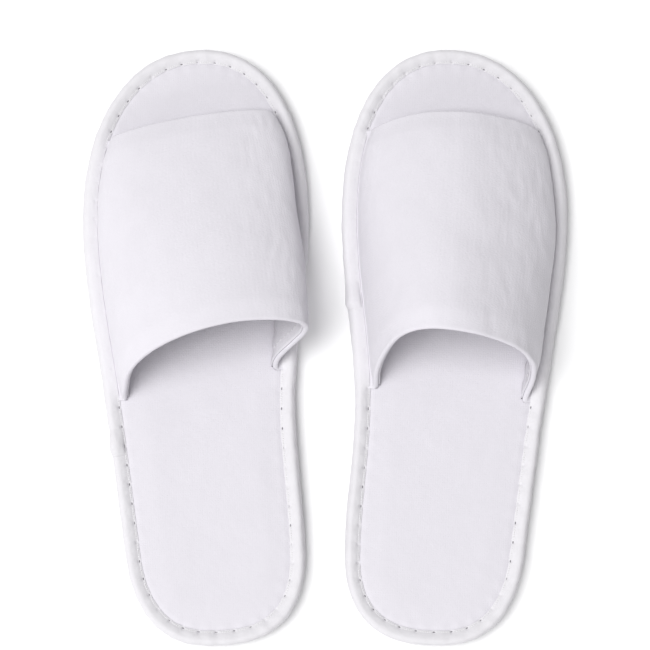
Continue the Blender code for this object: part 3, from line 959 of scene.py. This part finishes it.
class Arch:
    """The upper's base surface, the lining's inner face. across runs from the inner foot, 0, to
    the outer foot, 1, and along from the throat, 0, to the toe opening, 1."""

    def __init__(self, slipper):
        self.upper = UPPERS[slipper.side]
        self.slipper = slipper
        self.base = slipper.height("insole_cover_forefoot", top=True) + 1.0 * MM

    def smooth_point(self, across, along):
        upper = self.upper
        inner_y, outer_y = between(upper["inner_y"], along), between(upper["outer_y"], along)
        within = np.clip(along, 0, 1)
        tuck = upper["inner_tuck"] * np.sin(math.pi * within**TUCK_POWER) ** 2
        inner_x = OUTLINE.x_at(inner_y, -1, UPPER_INSET) + tuck
        outer_x = OUTLINE.x_at(outer_y, 1, UPPER_INSET)
        turn = math.pi * across
        cosine, sine = np.cos(turn), np.clip(np.sin(turn), 0, 1)
        fullness = np.where(cosine > 0, *upper["fullness"])
        swing = -np.sign(cosine) * np.abs(cosine) ** fullness
        bulge = between(upper["outer_overhang"], along) * side_bulge(math.pi - turn)
        bulge = bulge - between(upper["inner_overhang"], along) * side_bulge(turn)
        x = (inner_x + outer_x) / 2 + (outer_x - inner_x) / 2 * swing
        x = x + between(upper["lean"], along) * sine**LEAN_POWER + bulge
        y = (inner_y + outer_y) / 2 + (outer_y - inner_y) / 2 * swing
        y = y + between(upper["forward"], along) * sine ** between(FORWARD_POWER, along)
        height = between(upper["height"], within**HEIGHT_POWER)
        ridge = np.exp(-(((across - SHOULDER_AT) / SHOULDER_WIDTH) ** 2))
        z = self.base + height * sine**fullness + between(upper["shoulder"], along) * ridge
        return np.stack([x, y, z], axis=-1)

    def normal(self, across, along):
        step = 0.004
        low_u, high_u = np.clip(across - step, 0, 1), np.clip(across + step, 0, 1)
        low_v, high_v = np.clip(along - step, 0, 1), np.clip(along + step, 0, 1)
        sideways = self.smooth_point(high_u, along) - self.smooth_point(low_u, along)
        lengthwise = self.smooth_point(across, high_v) - self.smooth_point(across, low_v)
        normal = np.cross(sideways, lengthwise)
        return normal / np.linalg.norm(normal, axis=-1)[..., None]

    def wrinkle(self, point, across):
        """How far the soft upper stands out or in: slack all over, gathers above the stitches,
        and pressed creases on the flank that faces +X."""
        seed = self.slipper.seed
        slack = noise_layers(point, seed + 6, *SLACK)
        from_foot = np.minimum(across, 1 - across) * math.pi * ARCH_RADIUS
        phase = 2 * math.pi * point[..., 1] / STITCH_LENGTH
        towards_x = across if self.slipper.mirror > 0 else 1 - across
        pulled = between(GATHER_HEIGHT, smooth_step(0.3, 0.7, towards_x))
        gathers = np.cos(phase) * np.exp(-from_foot / GATHER_REACH) * pulled
        flank = smooth_step(0.5, 0.66, towards_x) * smooth_step(0.97, 0.8, towards_x)
        folds = np.abs(noise_at(point * CREASE_STRETCH, CREASE_SIZE, seed + 8))
        creases = -folds * flank * CREASE_DEPTH
        still = smooth_step(0, 0.06, across) * smooth_step(1, 0.94, across)
        return (slack + creases) * still + gathers

    def point(self, across, along, stand_off):
        """Points of the soft surface, stand_off outside the base surface."""
        smooth = self.smooth_point(across, along)
        normal = self.normal(across, along)
        return smooth + normal * (stand_off + self.wrinkle(smooth, across))[..., None]


def cloth_path(outer):
    """The cover's path from the edge of its inside flap, over the throat rim, along the upper,
    over the toe rim and back inside, as (distance from the throat edge, stand-off). outer picks
    the cloth's outside or its inside."""
    cloth = COVER_FACES[1] - COVER_FACES[0]
    flap = FLAP_FACES[0] if outer else FLAP_FACES[1]
    pressed = RIM_STAND_OFF if outer else RIM_STAND_OFF - cloth
    radius, middle = (pressed - flap) / 2, (pressed + flap) / 2
    edge = (RIM_STAND_OFF - FLAP_FACES[0]) / 2
    turn = np.linspace(-math.pi / 2, math.pi / 2, 13)
    rim = [(edge - radius * math.cos(a), middle + radius * math.sin(a)) for a in turn]
    inside = [(d, flap) for d in np.linspace(FLAP_WIDTH, edge, 7)[:-1]]
    half = inside + rim
    run = np.linspace(edge, ARCH_LENGTH - edge, 112)[1:-1]
    from_rim = np.minimum(run, ARCH_LENGTH - run)
    full = COVER_FACES[1] if outer else COVER_FACES[0]
    stand_off = pressed + (full - pressed) * smooth_step(edge, RIM_SLOPE, from_rim)
    back = [(ARCH_LENGTH - d, off) for d, off in reversed(half)]
    return np.array(half + list(zip(run, stand_off)) + back)


def margin_columns(slipper, along, stand_off, sign):
    """Where the cover runs out flat under the tape, its layers pressed together. Columns from
    the foot outwards."""
    upper = UPPERS[slipper.side]
    y = between(upper["outer_y" if sign > 0 else "inner_y"], along)
    floor = slipper.height("insole_cover_forefoot", top=True) + 0.1 * MM
    columns = []
    for inset, lift in MARGIN_PATH:
        x = OUTLINE.x_at(y, sign, inset)
        columns.append(np.stack([x, y, floor + lift + MARGIN_PRESSED * stand_off], axis=-1))
    return columns


def make_cover(slipper, arch):
    """Velour cover: one sheet that turns in over both openings, with its sides under the tape."""
    outside, inside = cloth_path(True), cloth_path(False)
    path = np.concatenate([outside, inside[::-1]])
    columns = np.linspace(0, 1, COVER_COLUMNS)
    across, run = np.meshgrid(columns, path[:, 0], indexing="ij")
    stand_off = np.broadcast_to(path[:, 1], across.shape)
    along = run / ARCH_LENGTH
    body = arch.point(across, along, stand_off)
    inner = margin_columns(slipper, along[0], stand_off[0], -1)[::-1]
    outer = margin_columns(slipper, along[0], stand_off[0], 1)
    points = np.concatenate([np.stack(inner), body, np.stack(outer)])
    rows, ring = points.shape[:2]
    faces = closed_tube(rows, ring)
    uv = sheet_uv(np.linspace(-60 * MM, 60 * MM, rows), path[:, 0])
    cover = slipper.piece("upper_cover", points, faces[:, ::-1], uv, MATERIALS["velour"])
    finish_piece(cover, "velour", slipper.node("upper_cover"))
    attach(cover, slipper.node("forefoot"))


def make_layer(slipper, arch, name, slot, faces_off, reach, columns=91, rows=70):
    """A closed sheet of the upper between two stand-offs, from reach inside each opening."""
    run = np.linspace(reach, ARCH_LENGTH - reach, rows)
    across, distance = np.meshgrid(np.linspace(0, 1, columns), run, indexing="ij")
    low = arch.point(across, distance / ARCH_LENGTH, np.full(across.shape, faces_off[0]))
    high = arch.point(across, distance / ARCH_LENGTH, np.full(across.shape, faces_off[1]))
    points = np.concatenate([high, low[:, ::-1]], axis=1)
    faces = closed_tube(columns, points.shape[1])
    width = np.linspace(-55 * MM, 55 * MM, columns)
    uv = sheet_uv(width, np.concatenate([run, run[::-1]]))
    piece = slipper.piece(name, points, faces[:, ::-1], uv, MATERIALS[slot])
    finish_piece(piece, slot, slipper.node(name))
    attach(piece, slipper.node("forefoot"))
    return piece


def make_opening_seam(slipper, arch, name, run):
    """Running stitches round the inside of an opening, over the lining's edge."""
    across = np.linspace(*SEAM_SPAN, SEAM_STEPS)
    along = np.full(SEAM_STEPS, run / ARCH_LENGTH)
    line = arch.point(across, along, np.full(SEAM_STEPS, -SEAM_SUNK))
    lengths = np.linalg.norm(np.diff(line, axis=0), axis=1)
    place = np.concatenate([[0], np.cumsum(lengths)])
    paths = []
    for first in np.arange(0, place[-1] - SEAM_STITCH, SEAM_STITCH):
        here = first + SEAM_GAP / 2 + np.linspace(0, 1, 7) * (SEAM_STITCH - SEAM_GAP)
        paths.append(np.column_stack([np.interp(here, place, line[:, k]) for k in range(3)]))
    thread = join_threads(slipper, name, paths, SEAM_RADIUS)
    finish_piece(thread, "thread", slipper.node(name))
    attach(thread, slipper.node("forefoot"))


def make_upper(slipper):
    arch = Arch(slipper)
    make_cover(slipper, arch)
    filling = make_layer(slipper, arch, "upper_foam", "pad_foam", FOAM_FACES, FOAM_EDGE, 61, 40)
    make_layer(slipper, arch, "upper_lining", "lining", LINING_FACES, LINING_EDGE)
    make_opening_seam(slipper, arch, "throat_seam", SEAM_LINE)
    make_opening_seam(slipper, arch, "toe_seam", ARCH_LENGTH - SEAM_LINE)


# ---------------------------------------------------------------- studio


def make_floor():
    mesh = bpy.data.meshes.new("floor")
    half = FLOOR_HALF
    mesh.from_pydata(
        [(-half, -half, 0), (half, -half, 0), (half, half, 0), (-half, half, 0)], [],
        [(0, 1, 2, 3)],
    )
    material = bpy.data.materials.new("floor")
    material.use_nodes = True
    shader = material.node_tree.nodes["Principled BSDF"]
    shader.inputs["Base Color"].default_value = (*FLOOR, 1)
    shader.inputs["Roughness"].default_value = 0.9
    mesh.materials.append(material)
    floor = bpy.data.objects.new("floor", mesh)
    bpy.context.scene.collection.objects.link(floor)


def area_light(name, place, size, power):
    """A rectangular light that faces the origin."""
    data = bpy.data.lights.new(name, "AREA")
    data.shape = "RECTANGLE"
    data.size, data.size_y = size
    data.energy = power
    light = bpy.data.objects.new(name, data)
    bpy.context.scene.collection.objects.link(light)
    light.location = place
    light.rotation_mode = "QUATERNION"
    light.rotation_quaternion = (-Vector(place)).to_track_quat("-Z", "Y")


def make_lights():
    """Soft light, mostly from the left and a little from the heel side."""
    area_light("key", **KEY_LIGHT)
    area_light("fill", **FILL_LIGHT)
    world = bpy.data.worlds.new("studio")
    world.use_nodes = True
    sky = world.node_tree.nodes["Background"]
    sky.inputs["Color"].default_value = (1, 1, 1, 1)
    sky.inputs["Strength"].default_value = SKY_STRENGTH
    bpy.context.scene.world = world


def make_camera():
    """Almost straight above, from the heel side."""
    data = bpy.data.cameras.new("camera")
    data.sensor_width = SENSOR_WIDTH
    data.lens = SENSOR_WIDTH * CAMERA_DISTANCE / CAMERA_WIDTH
    camera = bpy.data.objects.new("camera", data)
    bpy.context.scene.collection.objects.link(camera)
    away = Vector((0, -math.cos(CAMERA_ELEVATION), math.sin(CAMERA_ELEVATION)))
    camera.location = Vector(CAMERA_TARGET) + away * CAMERA_DISTANCE
    camera.rotation_mode = "QUATERNION"
    camera.rotation_quaternion = (-away).to_track_quat("-Z", "Y")
    bpy.context.scene.camera = camera


def main():
    for side in SIDES:
        slipper = Slipper(side)
        make_outsole(slipper)
        make_insole(slipper)
        make_tape(slipper)
        make_tape_end(slipper)
        make_tape_stitches(slipper)
        make_upper(slipper)
    make_floor()
    make_lights()
    make_camera()
    bpy.context.scene.view_settings.view_transform = "Standard"


main()
